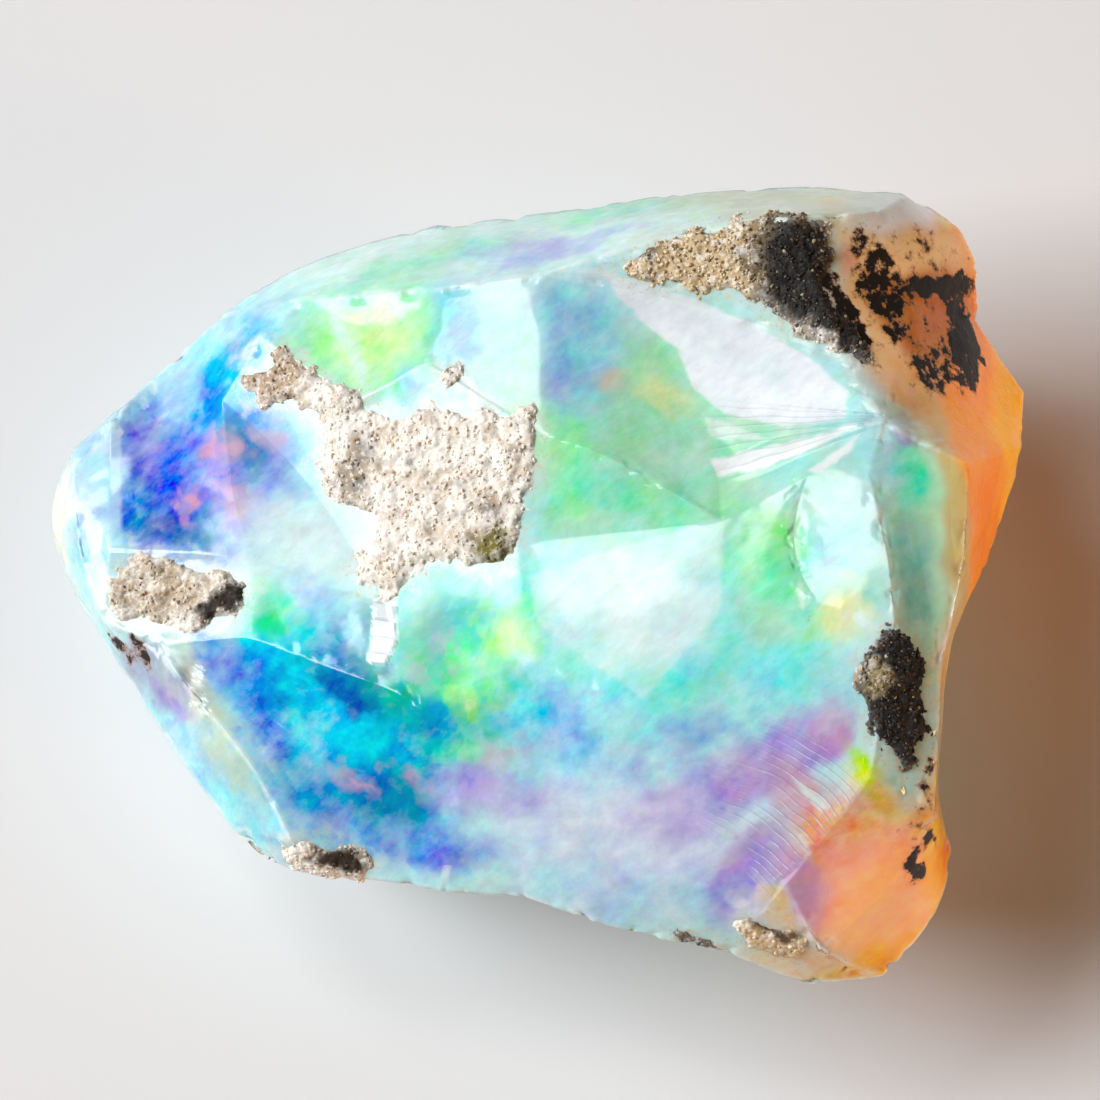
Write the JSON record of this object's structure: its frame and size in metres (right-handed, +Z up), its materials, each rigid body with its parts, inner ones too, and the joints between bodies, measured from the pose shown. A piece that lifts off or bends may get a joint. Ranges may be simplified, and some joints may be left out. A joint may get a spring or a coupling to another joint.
{
  "type": "rough opal specimen",
  "caption": "Rough lump of precious opal with fracture faces, milky at one end and honey-coloured at the other, with sandy matrix left on it; lies on a flat break.",
  "frame": {"origin": "middle of the stone's bounding box, on the flat break it rests on", "axes": "+Z up; +X along the stone's length, from its low milky tip to its high honey-coloured end; +Y towards the far crest"},
  "size_m": [0.03, 0.0244, 0.0144],
  "materials": {
    "opal": "gloss",
    "matrix": "matte"
  },
  "bodies": {
    "root": {"opal_stone": "opal"}
  },
  "joints": []
}
